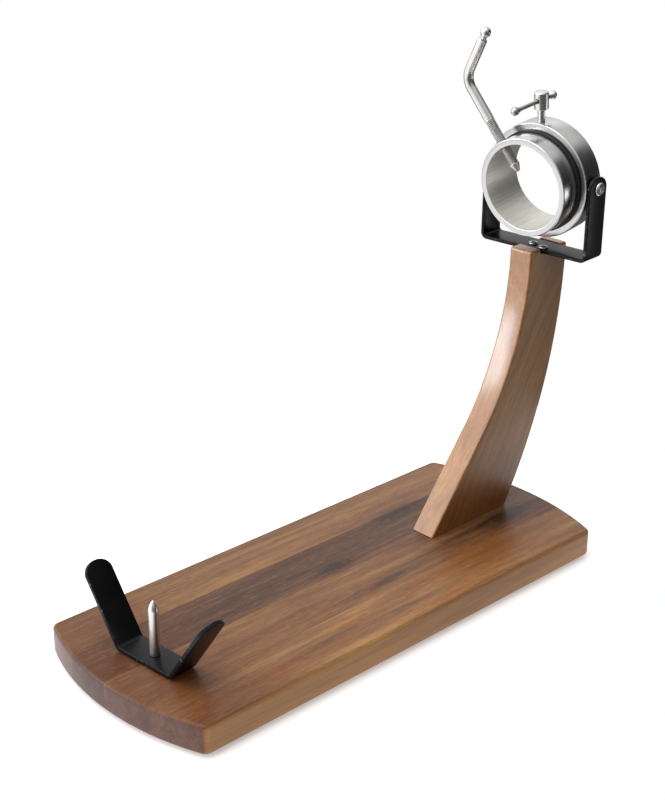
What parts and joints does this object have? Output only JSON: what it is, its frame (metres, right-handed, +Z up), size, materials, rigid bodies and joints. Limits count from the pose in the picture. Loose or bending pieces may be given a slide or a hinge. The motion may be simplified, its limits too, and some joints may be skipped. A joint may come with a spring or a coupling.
{
  "type": "ham stand",
  "caption": "Wooden ham stand: curved arm with a tilting, turning steel collar and screw clamp, and a V-shaped cradle with a spike at the low end.",
  "frame": {"origin": "on the table under the rubber feet, at the middle of the whole stand seen from above", "axes": "+X along the board from the low end with the cradle to the end with the arm, +Z up, +Y to the left seen from the cradle's end looking at the arm"},
  "size_m": [0.4652, 0.177, 0.4168],
  "materials": {
    "board_wood": "acacia staves, oiled and satin varnished, streaked from golden to dark brown",
    "arm_wood": "one lighter hardwood piece, satin varnished",
    "black_paint": "glossy black paint, worn a little at the edges",
    "ring_steel": "turned, lightly brushed stainless steel",
    "spike_steel": "satin stainless steel",
    "bar_steel": "darker bright-drawn steel",
    "polished_steel": "polished stainless steel",
    "zinc": "zinc-plated steel",
    "nylon": "black nylon",
    "brass": "plain turned brass",
    "rubber": "matt black rubber"
  },
  "bodies": {
    "stand": {"base_board": "board_wood", "foot_1": "rubber", "foot_2": "rubber", "foot_3": "rubber", "foot_4": "rubber", "foot_screw_1": "zinc", "foot_screw_2": "zinc", "foot_screw_3": "zinc", "foot_screw_4": "zinc", "support_arm": "arm_wood", "arm_screw_1": "zinc", "arm_screw_2": "zinc", "arm_washer_1": "zinc", "arm_washer_2": "zinc", "cradle": "black_paint", "spike": "spike_steel", "spike_washer": "zinc", "spike_nut": "zinc", "yoke": "black_paint", "yoke_screw_1": "zinc", "yoke_screw_2": "zinc"},
    "ring": {"outer_ring": "ring_steel", "pivot_bolt_left": "polished_steel", "pivot_bolt_right": "polished_steel", "pivot_washer_left": "nylon", "pivot_washer_right": "nylon"},
    "collar": {"sleeve": "ring_steel", "thrust_washer": "nylon"},
    "clamp_tip": {"clamp_tip": "spike_steel"},
    "lever": {"clamp_lever": "polished_steel", "lever_ball": "polished_steel"},
    "lock_pad": {"lock_pad": "brass"},
    "lock_screw": {"lock_screw": "polished_steel"},
    "bar": {"tommy_bar": "bar_steel", "tommy_knob": "polished_steel"}
  },
  "joints": [
    {"name": "head_tilt", "type": "hinge", "parent": "stand", "child": "ring", "pos_m": [0.21175, 0, 0.2992], "axis": [-0.0785, 0.9969, 0], "range_deg": [-84, 96]},
    {"name": "sleeve_spin", "type": "hinge", "parent": "ring", "child": "collar", "pos_m": [0.21175, 0, 0.2992], "axis": [0.992, 0.0781, 0.0988], "range_deg": [-110, 28]},
    {"name": "clamp_feed", "type": "slide", "parent": "collar", "child": "clamp_tip", "axis": [-0.1259, 0.591, 0.7968], "range_m": [-0.0175, 0.02]},
    {"name": "clamp_turn", "type": "hinge", "parent": "clamp_tip", "child": "lever", "pos_m": [0.18844, -0.00184, 0.29688], "axis": [-0.1259, 0.591, 0.7968], "range_deg": [-5041, 5761]},
    {"name": "lock_feed", "type": "slide", "parent": "ring", "child": "lock_pad", "axis": [-0.0985, -0.0078, 0.9951], "range_m": [0, 0.001]},
    {"name": "lock_turn", "type": "hinge", "parent": "lock_pad", "child": "lock_screw", "pos_m": [0.20778, -0.00031, 0.2988], "axis": [-0.0985, -0.0078, 0.9951], "range_deg": [-1, 361]},
    {"name": "tommy_slide", "type": "slide", "parent": "lock_screw", "child": "bar", "axis": [-0.992, -0.0781, -0.0988], "range_m": [-0.0235, 0.0045]}
  ],
  "couplings": [
    {"joint": "clamp_turn", "follows": "clamp_feed", "rad_per_m": 5026.5},
    {"joint": "lock_turn", "follows": "lock_feed", "rad_per_m": 6283.2}
  ]
}
